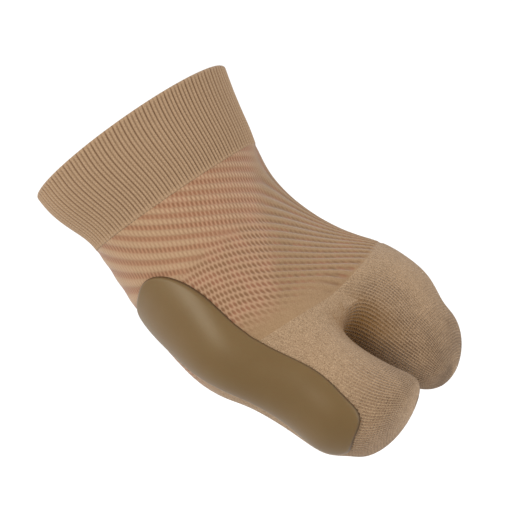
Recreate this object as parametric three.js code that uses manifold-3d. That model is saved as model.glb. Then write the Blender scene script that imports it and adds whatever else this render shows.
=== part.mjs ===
// Bunion sleeve for a left foot: a knitted forefoot tube with a ribbed cuff, a pocket for the big toe,
// one pocket for the other four toes, and a soft pad over the joint of the big toe.
// Millimetres. The origin is the centre of the cuff's mouth, +X runs to the toes, -Y is the side of the
// big toe and +Z is up from the back of the foot.
import * as THREE from 'three';
import { mergeVertices } from 'three/addons/utils/BufferGeometryUtils.js';
import Module from 'manifold-3d';

// Driving dimensions
const CUFF_LENGTH = 26;
const SLEEVE_LENGTH = 68;
const TOE_LENGTH = 41;
const MOUTH_WIDTH = 82;
const MOUTH_HEIGHT = 67;
const WAIST_WIDTH = 68;
const WAIST_HEIGHT = 52;
const BALL_WIDTH = 83;
const BALL_HEIGHT = 41;
const BIG_TOE_WIDTH = 36;
const BIG_TOE_HEIGHT = 36;
const SMALL_TOES_WIDTH = 43;
const SMALL_TOES_HEIGHT = 36.6;
const SIDESTEP = 15.5;
const FALL = 22.5;
const CROTCH_SHIFT = 0.8;
const WALL = 1.8;
const SEAM_GAP = 0.3;
const PAD_HEEL_MARGIN = 16.5;
const PAD_TOE_MARGIN = 7.5;
const PAD_WIDTH = 27;
const PAD_WAIST = 20.5;
const PAD_THICKNESS = 2.7;
const PAD_EDGE = 1.2;
const PAD_GAP = 0.45;
const TOE_SEAM_RADIUS = 100;
const TOE_SEAM_ASIDE = -8;

// Sections of the tube. Along is a share of the zone's length, aside of SIDESTEP, fall of FALL. Wide
// and tall run from 0 at the waist to 1 at the mouth in the cuff, and to 1 at the ball in the sleeve.
// Pitch and yaw turn the section in degrees, wedge lowers the side of the little toe and sole
// flattens the underside.
const CUFF_SECTIONS = [
  { along: 0, aside: 0, fall: 0, wide: 1, tall: 1, pitch: 25, yaw: -7, wedge: 0, sole: 1 },
  {along: 0.25, aside: 0.15, fall: 0.11, wide: 0.84, tall: 0.77, pitch: 25, yaw: -7, wedge: 0, sole: 0.97},
  {along: 0.55, aside: 0.25, fall: 0.21, wide: 0.52, tall: 0.49, pitch: 26, yaw: -7, wedge: 0.03, sole: 0.95},
  {along: 0.81, aside: 0.3, fall: 0.29, wide: 0.23, tall: 0.2, pitch: 28, yaw: -7, wedge: 0.06, sole: 0.93},
  { along: 1, aside: 0.39, fall: 0.37, wide: 0.09, tall: 0, pitch: 29, yaw: -6, wedge: 0.08, sole: 0.92 },
];
const SLEEVE_SECTIONS = [
  {along: 0.09, aside: 0.53, fall: 0.46, wide: 0.05, tall: 0, pitch: 26.5, yaw: -3, wedge: 0.1, sole: 0.91},
  {along: 0.24, aside: 0.76, fall: 0.57, wide: 0.06, tall: 0, pitch: 20.5, yaw: 0, wedge: 0.13, sole: 0.89},
  {along: 0.4, aside: 0.92, fall: 0.67, wide: 0.24, tall: 0.05, pitch: 14, yaw: 0, wedge: 0.17, sole: 0.87},
  {along: 0.545, aside: 0.98, fall: 0.73, wide: 0.47, tall: 0.2, pitch: 9, yaw: 1.5, wedge: 0.2, sole: 0.85},
  { along: 0.69, aside: 1, fall: 0.78, wide: 0.75, tall: 0.44, pitch: 6, yaw: 2, wedge: 0.2, sole: 0.83 },
  {along: 0.83, aside: 0.88, fall: 0.81, wide: 0.92, tall: 0.76, pitch: 3, yaw: 2.5, wedge: 0.15, sole: 0.82},
  {along: 0.945, aside: 0.66, fall: 0.82, wide: 1.02, tall: 1.04, pitch: 0, yaw: 1.5, wedge: 0.1, sole: 0.85},
];

// Sections of the two toe pockets. Along is a share of TOE_LENGTH, clear is the share of BALL_WIDTH
// that the pocket's inner side keeps from the crotch line, wide and tall are shares of the pocket's
// own sizes. The nose closes the pocket: it reaches, drifts aside and falls by shares of the same sizes.
const BIG_TOE = {
  side: -1, width: BIG_TOE_WIDTH, height: BIG_TOE_HEIGHT,
  sections: [
    {along: 0.19, clear: 0.006, fall: 0.94, wide: 0.99, tall: 1.04, pitch: -1, yaw: 8, wedge: 0, sole: 0.85},
    { along: 0.38, clear: 0.014, fall: 1, wide: 0.97, tall: 0.99, pitch: -2, yaw: 9, wedge: 0, sole: 0.85 },
    {along: 0.56, clear: 0.003, fall: 1.02, wide: 1, tall: 0.94, pitch: -2, yaw: 10, wedge: 0, sole: 0.87},
    {along: 0.71, clear: -0.006, fall: 0.98, wide: 0.93, tall: 0.8, pitch: -3, yaw: 10, wedge: 0, sole: 0.9},
  ],
  nose: { reach: 0.28, aside: 0.096, fall: -0.14, power: 2.7, stations: [0.42, 0.74, 0.93] },
};
const SMALL_TOES = {
  side: 1, width: SMALL_TOES_WIDTH, height: SMALL_TOES_HEIGHT,
  sections: [
    { along: 0.13, clear: 0.012, fall: 1, wide: 1, tall: 1, pitch: 0, yaw: 0, wedge: 0.1, sole: 0.85 },
    {along: 0.34, clear: 0.042, fall: 1.01, wide: 0.91, tall: 0.9, pitch: 0, yaw: 0, wedge: 0.08, sole: 0.85},
    {along: 0.55, clear: 0.06, fall: 1.06, wide: 0.74, tall: 0.76, pitch: 0, yaw: 0, wedge: 0.05, sole: 0.87},
  ],
  nose: { reach: 0.43, aside: -0.05, fall: 0.05, power: 2, stations: [0.3, 0.56, 0.78, 0.94] },
};

// The pad's middle line is a cubic curve whose four falls are shares of FALL, from heel to toe. The
// pad narrows to its waist at a share of its length.
const PAD_FALLS = { heel: 0.63, arch: 0.05, joint: 0.63, toe: 0.85 };
const PAD_WAIST_ALONG = 0.58;
const PAD_WAIST_REACH = 0.22;
const PAD_OUTLINE_POWER = 3.8;

// Points round a section. Columns 0 to MEDIAL of the tube carry on into the big toe's pocket, the
// others into the pocket of the small toes, and INNER columns close each pocket along the crotch.
const MEDIAL = 10;
const LATERAL = 14;
const INNER = 4;

// Fineness of the pad, of its walk up the wall and of the arc over the roots of the toes.
const PAD_ROUND = 40;
const PAD_OUTLINE_STEPS = 200;
const PAD_RINGS = [1, 0.97, 0.9, 0.78, 0.62, 0.46, 0.3, 0.15];
const PAD_RIM_POWER = 2.6;
const LOCATE_PASSES = 12;
const CLIMB_STRIDES = 24;
const TOE_SEAM_STEPS = 40;
const WIDEST_SWEEP = 0.98;

const KNIT = new THREE.MeshStandardMaterial({ color: 0xc2a68a, roughness: 0.95, metalness: 0 });
const RIB = new THREE.MeshStandardMaterial({ color: 0xb89c80, roughness: 0.95, metalness: 0 });
const TERRY = new THREE.MeshStandardMaterial({ color: 0xbb9c7c, roughness: 0.97, metalness: 0 });
const GEL = new THREE.MeshStandardMaterial({ color: 0x8a7650, roughness: 0.35, metalness: 0 });

const rad = THREE.MathUtils.degToRad;
const lerp = THREE.MathUtils.lerp;

// Where the toes begin, the line between the two pockets and the section at the roots of the toes.
const TOE_START = CUFF_LENGTH + SLEEVE_LENGTH;
const CROTCH_ASIDE = -SLEEVE_SECTIONS.at(-1).aside * SIDESTEP - CROTCH_SHIFT;

// Angles round a section, from +Y through +Z, in even steps between the marks where the tube divides.
function spread(from, to, steps) {
  return Array.from({ length: steps }, (_, k) => rad(lerp(from, to, k / steps)));
}
const TUBE_ANGLES = [...spread(100, 260, MEDIAL), ...spread(260, 460, LATERAL)];
const BIG_TOE_ANGLES = [...spread(55, 305, MEDIAL), ...spread(305, 415, INNER)];
const SMALL_TOES_ANGLES = [...spread(235, 485, LATERAL), ...spread(485, 595, INNER)];

const turnOf = (section) => new THREE.Euler(0, rad(section.pitch), rad(section.yaw), 'ZYX');

// One section as control points. The swell makes up for what smoothing takes off a ring.
function ring(s, angles) {
  const swell = 3 / (2 + Math.cos((2 * Math.PI) / angles.length));
  const turn = turnOf(s);
  return angles.map((angle) => {
    const side = (s.width / 2) * swell * Math.cos(angle);
    const top = Math.sin(angle) * (1 - s.wedge * Math.cos(angle));
    const under = -(Math.abs(Math.sin(angle)) ** s.sole);
    const rise = (s.height / 2) * swell * (Math.sin(angle) > 0 ? top : under);
    return new THREE.Vector3(0, side, rise).applyEuler(turn).add(s.centre);
  });
}

function tubeSection(row, start, length, endWidth, endHeight) {
  return {
    ...row,
    width: lerp(WAIST_WIDTH, endWidth, row.wide),
    height: lerp(WAIST_HEIGHT, endHeight, row.tall),
    centre: new THREE.Vector3(start + row.along * length, -row.aside * SIDESTEP, -row.fall * FALL),
  };
}

function pocketSections(pocket) {
  const full = pocket.sections.map((row) => {
    const width = row.wide * pocket.width;
    const aside = CROTCH_ASIDE + pocket.side * (row.clear * BALL_WIDTH + width / 2);
    const centre = new THREE.Vector3(TOE_START + row.along * TOE_LENGTH, aside, -row.fall * FALL);
    return { ...row, width, height: row.tall * pocket.height, centre };
  });
  const last = full.at(-1);
  const { reach, aside, fall, power, stations } = pocket.nose;
  const noseCentre = (u) => new THREE.Vector3(reach * u * TOE_LENGTH, aside * u * u * BALL_WIDTH, 0)
    .add(new THREE.Vector3(0, 0, -fall * u * u * FALL))
    .add(last.centre);
  const nose = stations.map((u) => {
    const shrink = (1 - u ** power) ** (1 / power);
    return { ...last, width: last.width * shrink, height: last.height * shrink, centre: noseCentre(u) };
  });
  return { sections: [...full, ...nose], tip: noseCentre(1) };
}

// The control cage: rings of the tube and of the two pockets, the crotch between them and the two tips.
function buildCage() {
  const points = [];
  const faces = [];
  const add = (list) => list.map((point) => points.push(point) - 1);
  const join = (near, far) => {
    near.forEach((_, k) => {
      const next = (k + 1) % near.length;
      faces.push([near[k], near[next], far[next], far[k]]);
    });
  };
  const tube = [
    ...CUFF_SECTIONS.map((row) => tubeSection(row, 0, CUFF_LENGTH, MOUTH_WIDTH, MOUTH_HEIGHT)),
    ...SLEEVE_SECTIONS.map((row) => tubeSection(row, CUFF_LENGTH, SLEEVE_LENGTH, BALL_WIDTH, BALL_HEIGHT)),
  ].map((section) => add(ring(section, TUBE_ANGLES)));
  const addPocket = (pocket, angles) => {
    const { sections, tip } = pocketSections(pocket);
    return { rings: sections.map((section) => add(ring(section, angles))), tip: add([tip])[0] };
  };
  const big = addPocket(BIG_TOE, BIG_TOE_ANGLES);
  const small = addPocket(SMALL_TOES, SMALL_TOES_ANGLES);
  tube.slice(1).forEach((far, i) => join(tube[i], far));

  const root = tube.at(-1);
  const bigRoot = big.rings[0];
  const smallRoot = small.rings[0];
  for (let k = 0; k < MEDIAL; k += 1) {
    faces.push([root[k], root[k + 1], bigRoot[k + 1], bigRoot[k]]);
  }
  for (let k = 0; k < LATERAL; k += 1) {
    faces.push([root[MEDIAL + k], root[(MEDIAL + k + 1) % root.length], smallRoot[k + 1], smallRoot[k]]);
  }
  faces.push([root[0], bigRoot[0], smallRoot[LATERAL]]);
  faces.push([root[MEDIAL], smallRoot[0], bigRoot[MEDIAL]]);
  for (let k = 0; k < INNER; k += 1) {
    const across = LATERAL + INNER - k;
    const bigPair = [bigRoot[(MEDIAL + k + 1) % bigRoot.length], bigRoot[MEDIAL + k]];
    faces.push([...bigPair, smallRoot[across % smallRoot.length], smallRoot[across - 1]]);
  }
  for (const { rings, tip } of [big, small]) {
    rings.slice(1).forEach((far, i) => join(rings[i], far));
    const end = rings.at(-1);
    end.forEach((_, k) => faces.push([end[k], end[(k + 1) % end.length], tip]));
  }
  const medialRow = (indices) => indices.slice(0, MEDIAL + 1).map((i) => points[i]);
  return { cage: { points, faces }, medialRows: [...tube, ...big.rings].map(medialRow) };
}

const sum = (list) => list.reduce((total, point) => total.add(point), new THREE.Vector3());
const mean = (list) => sum(list).divideScalar(list.length);

// Which faces and edges meet at each point, and which faces each edge has.
function neighbours({ points, faces }) {
  const edges = new Map();
  const around = points.map(() => ({ faces: [], edges: [] }));
  faces.forEach((face, f) => {
    face.forEach((a, i) => {
      const b = face[(i + 1) % face.length];
      const key = a < b ? `${a},${b}` : `${b},${a}`;
      if (!edges.has(key)) {
        edges.set(key, { ends: [a, b], faces: [] });
        around[a].edges.push(edges.get(key));
        around[b].edges.push(edges.get(key));
      }
      edges.get(key).faces.push(f);
      around[a].faces.push(f);
    });
  });
  return { edges, around };
}

const otherEnd = (edge, point) => (edge.ends[0] === point ? edge.ends[1] : edge.ends[0]);
const isOpen = (edge) => edge.faces.length === 1;

// One step of Catmull-Clark subdivision.
function subdivide(mesh) {
  const { points, faces } = mesh;
  const { edges, around } = neighbours(mesh);
  const facePoints = faces.map((face) => mean(face.map((i) => points[i])));
  const middle = (edge) => mean(edge.ends.map((i) => points[i]));
  const moved = points.map((point, i) => {
    const { faces: fs, edges: es } = around[i];
    const open = es.filter(isOpen);
    if (open.length > 0) {
      return mean(open.map(middle)).add(point).multiplyScalar(0.5);
    }
    const n = es.length;
    const pull = mean(fs.map((f) => facePoints[f])).addScaledVector(mean(es.map(middle)), 2);
    return pull.addScaledVector(point, n - 3).divideScalar(n);
  });
  const result = [...moved, ...facePoints];
  for (const edge of edges.values()) {
    const ends = edge.ends.map((i) => points[i]);
    const corners = isOpen(edge) ? ends : [...ends, ...edge.faces.map((f) => facePoints[f])];
    edge.index = result.push(mean(corners)) - 1;
  }
  const at = (a, b) => edges.get(a < b ? `${a},${b}` : `${b},${a}`).index;
  const quads = faces.flatMap((face, f) => face.map((corner, i) => {
    const before = face[(i + face.length - 1) % face.length];
    const after = face[(i + 1) % face.length];
    return [corner, at(corner, after), points.length + f, at(before, corner)];
  }));
  return { points: result, faces: quads };
}

// Moves each point of a mesh of quads to where endless subdivision would bring it.
function settle(mesh) {
  const { points, faces } = mesh;
  const { around } = neighbours(mesh);
  const settled = points.map((point, i) => {
    const { faces: fs, edges: es } = around[i];
    const open = es.filter(isOpen);
    if (open.length > 0) {
      const ends = sum(open.map((edge) => points[otherEnd(edge, i)]));
      return ends.addScaledVector(point, 4).divideScalar(6);
    }
    const n = es.length;
    const beside = sum(es.map((edge) => points[otherEnd(edge, i)]));
    const opposite = sum(fs.map((f) => points[faces[f][(faces[f].indexOf(i) + 2) % 4]]));
    const total = beside.multiplyScalar(4).add(opposite).addScaledVector(point, n * n);
    return total.divideScalar(n * (n + 5));
  });
  return { points: settled, faces };
}

function pointNormals({ points, faces }) {
  const normals = points.map(() => new THREE.Vector3());
  for (const face of faces) {
    const [a, b, c, d] = face.map((i) => points[i]);
    const normal = c.clone().sub(a).cross(d.clone().sub(b));
    face.forEach((i) => normals[i].add(normal));
  }
  return normals.map((normal) => normal.normalize());
}

// A mesh of triangles, each face cut as a fan from its first corner.
function geometryOf(points, faces) {
  const fan = (face) => face.slice(2).flatMap((_, i) => [face[0], face[i + 1], face[i + 2]]);
  const geometry = new THREE.BufferGeometry();
  geometry.setAttribute('position', new THREE.Float32BufferAttribute(points.flatMap((p) => p.toArray()), 3));
  geometry.setIndex(faces.flatMap(fan));
  return geometry;
}

// The knitted wall: the settled surface, the same surface WALL further in, and the mouth's flat edge.
function buildShell(cage) {
  const outer = settle(subdivide(cage));
  const mouthNormal = new THREE.Vector3(1, 0, 0).applyEuler(turnOf(CUFF_SECTIONS[0]));
  const { edges, around } = neighbours(outer);
  const inward = pointNormals(outer).map((normal, i) => {
    if (around[i].edges.some(isOpen)) {
      normal.addScaledVector(mouthNormal, -normal.dot(mouthNormal)).normalize();
    }
    return normal.negate();
  });
  const inner = outer.points.map((point, i) => point.clone().addScaledVector(inward[i], WALL));
  const count = outer.points.length;
  const faces = [
    ...outer.faces,
    ...outer.faces.map((face) => face.map((i) => i + count).reverse()),
    ...[...edges.values()].filter(isOpen).map(({ ends: [a, b] }) => [b, a, a + count, b + count]),
  ];
  return geometryOf([...outer.points, ...inner], faces);
}

// Cubic B-spline weights and their slopes for four neighbouring control points.
function weights(t) {
  const [second, third] = [3 * t ** 3 - 6 * t ** 2 + 4, -3 * t ** 3 + 3 * t ** 2 + 3 * t + 1];
  return [(1 - t) ** 3, second, third, t ** 3].map((w) => w / 6);
}
function slopes(t) {
  return [-((1 - t) ** 2), 3 * t ** 2 - 4 * t, -3 * t ** 2 + 2 * t + 1, t ** 2].map((w) => w / 2);
}

// The wall's outside along the side of the big toe, at row u and column v of the cage.
function medialSurface(rows, u, v) {
  const i = Math.min(Math.max(Math.floor(u), 1), rows.length - 3);
  const j = Math.min(Math.max(Math.floor(v), 1), MEDIAL - 2);
  const blend = (along, round) => {
    const total = new THREE.Vector3();
    along.forEach((wu, m) => round.forEach((wv, n) => {
      total.addScaledVector(rows[i - 1 + m][j - 1 + n], wu * wv);
    }));
    return total;
  };
  const [wu, wv] = [weights(u - i), weights(v - j)];
  return { point: blend(wu, wv), du: blend(slopes(u - i), wv), dv: blend(wu, slopes(v - j)) };
}

// Row and column of the outside point with the given place along X and height.
function locate(rows, x, z) {
  let [u, v] = [rows.length / 2, MEDIAL / 2];
  for (let pass = 0; pass < LOCATE_PASSES; pass += 1) {
    const { point, du, dv } = medialSurface(rows, u, v);
    const [ex, ez] = [x - point.x, z - point.z];
    const area = du.x * dv.z - du.z * dv.x;
    u += (ex * dv.z - ez * dv.x) / area;
    v += (ez * du.x - ex * du.z) / area;
  }
  return [u, v];
}

// From a row and column, walks the given distance up the wall at the same place along X.
function climb(rows, [u, v], distance) {
  for (let k = 0; k < CLIMB_STRIDES; k += 1) {
    const { du, dv } = medialSurface(rows, u, v);
    const lean = -dv.x / du.x;
    const stride = dv.clone().addScaledVector(du, lean).length();
    const step = -distance / CLIMB_STRIDES / stride;
    u += lean * step;
    v += step;
  }
  return [u, v];
}

// How low the pad's middle line lies at a share of its length.
function padFall(share) {
  const { heel, arch, joint, toe } = PAD_FALLS;
  const rest = 1 - share;
  const early = rest ** 3 * heel + 3 * rest ** 2 * share * arch;
  const late = 3 * rest * share ** 2 * joint + share ** 3 * toe;
  return FALL * (early + late);
}

function padWidth(share) {
  const offset = (share - PAD_WAIST_ALONG) / PAD_WAIST_REACH;
  return lerp(PAD_WIDTH, PAD_WAIST, Math.exp(-(offset ** 2)));
}

// Evenly spaced points round a superellipse as long and wide as the pad.
function padOutline(length) {
  const power = (value) => Math.sign(value) * Math.abs(value) ** (2 / PAD_OUTLINE_POWER);
  const rim = Array.from({ length: PAD_OUTLINE_STEPS + 1 }, (_, k) => {
    const angle = (2 * Math.PI * k) / PAD_OUTLINE_STEPS;
    return new THREE.Vector2((length / 2) * power(Math.cos(angle)), (PAD_WIDTH / 2) * power(Math.sin(angle)));
  });
  return new THREE.SplineCurve(rim).getSpacedPoints(PAD_ROUND).slice(0, -1);
}

// The pad: rings of points from its rim to its middle, on its back along the wall and on its front.
function buildPad(rows) {
  const from = CUFF_LENGTH + PAD_HEEL_MARGIN;
  const to = TOE_START + TOE_LENGTH - PAD_TOE_MARGIN;
  const outline = padOutline(to - from);
  const place = (share, across, lift) => {
    const [u, v] = climb(rows, locate(rows, lerp(from, to, share), -padFall(share)), across);
    const { point, du, dv } = medialSurface(rows, u, v);
    return point.addScaledVector(dv.cross(du).normalize(), lift);
  };
  const layer = (liftAt) => {
    const points = PAD_RINGS.flatMap((r) => outline.map(({ x, y }) => {
      const share = 0.5 + (r * x) / (to - from);
      return place(share, (r * y * padWidth(share)) / PAD_WIDTH, liftAt(r));
    }));
    return [...points, place(0.5, 0, liftAt(0))];
  };
  const crown = (r) => PAD_EDGE + (PAD_THICKNESS - PAD_EDGE) * (1 - r ** PAD_RIM_POWER);
  const back = layer(() => PAD_GAP);
  const front = layer((r) => PAD_GAP + crown(r));
  const count = back.length;
  const faces = [];
  const addFace = (face) => faces.push(face.toReversed(), face.map((i) => i + count));
  for (let k = 0; k < PAD_ROUND; k += 1) {
    const next = (k + 1) % PAD_ROUND;
    for (let i = 1; i < PAD_RINGS.length; i += 1) {
      const [wide, close] = [(i - 1) * PAD_ROUND, i * PAD_ROUND];
      addFace([wide + k, wide + next, close + next, close + k]);
    }
    const last = (PAD_RINGS.length - 1) * PAD_ROUND;
    addFace([last + k, last + next, count - 1]);
    faces.push([next, next + count, k + count, k]);
  }
  return geometryOf([...back, ...front], faces);
}

const wasm = await Module();
wasm.setup();

function toSolid(geometry) {
  geometry.deleteAttribute('normal');
  geometry.deleteAttribute('uv');
  const merged = mergeVertices(geometry, 1e-4);
  return new wasm.Manifold(new wasm.Mesh({
    numProp: 3,
    vertProperties: Float32Array.from(merged.attributes.position.array),
    triVerts: Uint32Array.from(merged.index.array),
  }));
}

function toGeometry(solid) {
  const { vertProperties, triVerts } = solid.getMesh();
  const geometry = new THREE.BufferGeometry();
  geometry.setAttribute('position', new THREE.BufferAttribute(vertProperties, 3));
  geometry.setIndex(new THREE.BufferAttribute(triVerts, 1));
  return geometry;
}

// Thin cutters that part the wall where its knit changes: at the cuff's foot, along an arc over the
// roots of the toes, and through the crotch up to the second section of the big toe's pocket.
function seamCutters() {
  const reach = 2 * Math.max(MOUTH_WIDTH, MOUTH_HEIGHT, BALL_WIDTH) + FALL;
  const foot = CUFF_SECTIONS.at(-1);
  const cuffFoot = new THREE.BoxGeometry(SEAM_GAP, reach, reach)
    .applyMatrix4(new THREE.Matrix4().makeRotationFromEuler(turnOf(foot)))
    .translate(CUFF_LENGTH, -foot.aside * SIDESTEP, -foot.fall * FALL);

  const sweep = Math.asin(Math.min(BALL_WIDTH / TOE_SEAM_RADIUS, WIDEST_SWEEP));
  const band = new THREE.Shape();
  band.absarc(0, 0, TOE_SEAM_RADIUS + SEAM_GAP / 2, -sweep, sweep, false);
  band.absarc(0, 0, TOE_SEAM_RADIUS - SEAM_GAP / 2, sweep, -sweep, true);
  const extrusion = { depth: reach, bevelEnabled: false, curveSegments: TOE_SEAM_STEPS };
  const toeArc = new THREE.ExtrudeGeometry(band, extrusion)
    .translate(TOE_START - TOE_SEAM_RADIUS, TOE_SEAM_ASIDE, -reach / 2 - FALL);

  const crotchReach = BIG_TOE.sections[1].along * TOE_LENGTH;
  const crotch = new THREE.BoxGeometry(crotchReach, SEAM_GAP, reach)
    .translate(TOE_START + crotchReach / 2 - SEAM_GAP, CROTCH_ASIDE, -FALL);
  return [cuffFoot, toeArc, crotch].map(toSolid);
}

const { cage, medialRows } = buildCage();
const shell = toSolid(buildShell(cage));
const wall = seamCutters().reduce((solid, cutter) => solid.subtract(cutter), shell);
const zones = wall.decompose().map((solid) => {
  const { min, max } = solid.boundingBox();
  return { solid, middle: min.map((low, i) => (low + max[i]) / 2) };
});
zones.sort((a, b) => a.middle[0] - b.middle[0]);
const [cuff, forefoot] = zones;
const [bigToe, smallToes] = zones.slice(2).sort((a, b) => a.middle[1] - b.middle[1]);

const bunionSleeve = new THREE.Group();
function addMesh(name, geometry, material) {
  const mesh = new THREE.Mesh(geometry, material);
  mesh.name = name;
  bunionSleeve.add(mesh);
}
addMesh('ribbed_cuff', toGeometry(cuff.solid), RIB);
addMesh('forefoot_sleeve', toGeometry(forefoot.solid), KNIT);
addMesh('big_toe_pocket', toGeometry(bigToe.solid), TERRY);
addMesh('small_toes_pocket', toGeometry(smallToes.solid), TERRY);
addMesh('bunion_pad', buildPad(medialRows), GEL);

export default bunionSleeve;
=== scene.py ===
"""A knitted bunion sleeve for a left foot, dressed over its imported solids.

Lengths are millimetres in the part's own frame until a mesh is made: +X runs to the toes, -Y is the
side of the big toe and +Z is up from the back of the foot.
"""

import math
from collections import namedtuple

import bpy
import numpy as np
from mathutils import Matrix, Vector


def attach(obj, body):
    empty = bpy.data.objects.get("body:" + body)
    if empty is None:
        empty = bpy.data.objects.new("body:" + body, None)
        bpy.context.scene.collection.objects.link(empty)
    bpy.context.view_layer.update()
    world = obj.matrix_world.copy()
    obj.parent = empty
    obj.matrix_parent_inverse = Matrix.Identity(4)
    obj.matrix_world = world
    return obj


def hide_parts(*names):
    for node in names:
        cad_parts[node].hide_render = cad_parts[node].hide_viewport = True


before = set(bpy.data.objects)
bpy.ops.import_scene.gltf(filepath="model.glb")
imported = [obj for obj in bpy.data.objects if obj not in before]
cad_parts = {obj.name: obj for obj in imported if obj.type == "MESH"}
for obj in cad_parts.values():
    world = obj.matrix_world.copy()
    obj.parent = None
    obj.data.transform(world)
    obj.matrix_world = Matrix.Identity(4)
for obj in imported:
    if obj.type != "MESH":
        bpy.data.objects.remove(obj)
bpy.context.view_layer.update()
MM = 0.001

# Driving dimensions, the same as the solids'
CUFF_LENGTH = 26
SLEEVE_LENGTH = 68
TOE_LENGTH = 41
MOUTH_WIDTH = 82
MOUTH_HEIGHT = 67
WAIST_WIDTH = 68
WAIST_HEIGHT = 52
BALL_WIDTH = 83
BALL_HEIGHT = 41
BIG_TOE_WIDTH = 36
BIG_TOE_HEIGHT = 36
SMALL_TOES_WIDTH = 43
SMALL_TOES_HEIGHT = 36.6
SIDESTEP = 15.5
FALL = 22.5
CROTCH_SHIFT = 0.8
WALL = 1.8
PAD_HEEL_MARGIN = 16.5
PAD_TOE_MARGIN = 7.5
PAD_WIDTH = 27
PAD_WAIST = 20.5
PAD_THICKNESS = 2.7
PAD_EDGE = 1.2
TOE_SEAM_RADIUS = 100
TOE_SEAM_ASIDE = -8

# Sections of the tube, as in the solids: along is a share of the zone's length, aside of SIDESTEP and
# fall of FALL, wide and tall run from the waist to the mouth or the ball, pitch and yaw are degrees.
Section = namedtuple("Section", "along aside fall wide tall pitch yaw wedge sole")
CUFF_SECTIONS = [
    Section(0, 0, 0, 1, 1, 25, -7, 0, 1),
    Section(0.25, 0.15, 0.11, 0.84, 0.77, 25, -7, 0, 0.97),
    Section(0.55, 0.25, 0.21, 0.52, 0.49, 26, -7, 0.03, 0.95),
    Section(0.81, 0.3, 0.29, 0.23, 0.2, 28, -7, 0.06, 0.93),
    Section(1, 0.39, 0.37, 0.09, 0, 29, -6, 0.08, 0.92),
]
SLEEVE_SECTIONS = [
    Section(0.09, 0.53, 0.46, 0.05, 0, 26.5, -3, 0.1, 0.91),
    Section(0.24, 0.76, 0.57, 0.06, 0, 20.5, 0, 0.13, 0.89),
    Section(0.4, 0.92, 0.67, 0.24, 0.05, 14, 0, 0.17, 0.87),
    Section(0.545, 0.98, 0.73, 0.47, 0.2, 9, 1.5, 0.2, 0.85),
    Section(0.69, 1, 0.78, 0.75, 0.44, 6, 2, 0.2, 0.83),
    Section(0.83, 0.88, 0.81, 0.92, 0.76, 3, 2.5, 0.15, 0.82),
    Section(0.945, 0.66, 0.82, 1.02, 1.04, 0, 1.5, 0.1, 0.85),
]

# Sections of the two pockets: clear, in the place of aside, is the share of BALL_WIDTH that the
# pocket's inner side keeps from the crotch line, and wide and tall are shares of its own sizes.
Pocket = namedtuple("Pocket", "side width height sections nose")
Nose = namedtuple("Nose", "reach aside fall power stations")
BIG_TOE = Pocket(-1, BIG_TOE_WIDTH, BIG_TOE_HEIGHT, [
    Section(0.19, 0.006, 0.94, 0.99, 1.04, -1, 8, 0, 0.85),
    Section(0.38, 0.014, 1, 0.97, 0.99, -2, 9, 0, 0.85),
    Section(0.56, 0.003, 1.02, 1, 0.94, -2, 10, 0, 0.87),
    Section(0.71, -0.006, 0.98, 0.93, 0.8, -3, 10, 0, 0.9),
], Nose(0.28, 0.096, -0.14, 2.7, [0.42, 0.74, 0.93]))
SMALL_TOES = Pocket(1, SMALL_TOES_WIDTH, SMALL_TOES_HEIGHT, [
    Section(0.13, 0.012, 1, 1, 1, 0, 0, 0.1, 0.85),
    Section(0.34, 0.042, 1.01, 0.91, 0.9, 0, 0, 0.08, 0.85),
    Section(0.55, 0.06, 1.06, 0.74, 0.76, 0, 0, 0.05, 0.87),
], Nose(0.43, -0.05, 0.05, 2, [0.3, 0.56, 0.78, 0.94]))
PAD_FALLS = [0.63, 0.05, 0.63, 0.85]
PAD_WAIST_ALONG, PAD_WAIST_REACH = 0.58, 0.22
PAD_OUTLINE_POWER = 3.8

# Columns round a section: those of the big toe's side, those of the other side, and those that close
# each pocket along the crotch.
MEDIAL, LATERAL, INNER = 10, 14, 4
AROUND = MEDIAL + LATERAL

TOE_START = CUFF_LENGTH + SLEEVE_LENGTH
CROTCH_ASIDE = -SLEEVE_SECTIONS[-1].aside * SIDESTEP - CROTCH_SHIFT

# How the knit is made. Counts are per column of the surface, lengths are millimetres.
RIBS = 130 / 24
RIB_STRETCH = 0.35
RIB_FOLD = 7.1
RIB_RELIEF = 0.5
RIB_FADE, RIB_FADE_START = 0.6, 0.94
RIB_SAMPLES = 9
CUFF_ROWS = 46
WELT = 1.1
TICKS = 164 / 24
TICK_LEAN = 0.6
WALES = 9.5
TOE_WALES = 6.5
COURSE = 0.95
SEAM_DEPTH = 0.25
SMOOTH_START = 24
SMOOTH_END = 36
SUBDIVISIONS = 4

# Stripe count of the sleeve, as a slope per millimetre and a bend per square millimetre of place,
# fitted to the real stripes' direction and pitch: wide and level near the cuff, narrow over the ball.
MESH_SLOPE = np.array([-0.205, 0.0765, -0.0429])
MESH_BEND = np.array([[0.344, -0.1309, 0.2173], [-0.1309, 0.2893, 0.1301], [0.2173, 0.1301, -0.3477]]) / 100
MESH_START = 0.839
BAND_SLOPE = np.array([0.0565, -0.1092, -0.304])
BAND_BEND = np.array([[0.0527, -0.0519, 0.1468], [-0.0519, -0.0601, 0.014], [0.1468, 0.014, -0.2482]]) / 100
BAND_START = 0.003
HELD_ASIDE = 12
HELD_DROP = -14
HELD_SLOPE = -0.24
RIDGE_RELIEF = 0.5
MESH_RELIEF = 0.3
BAND_RELIEF = 0.2
WAVE_SHARPNESS = 0.6

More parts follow.
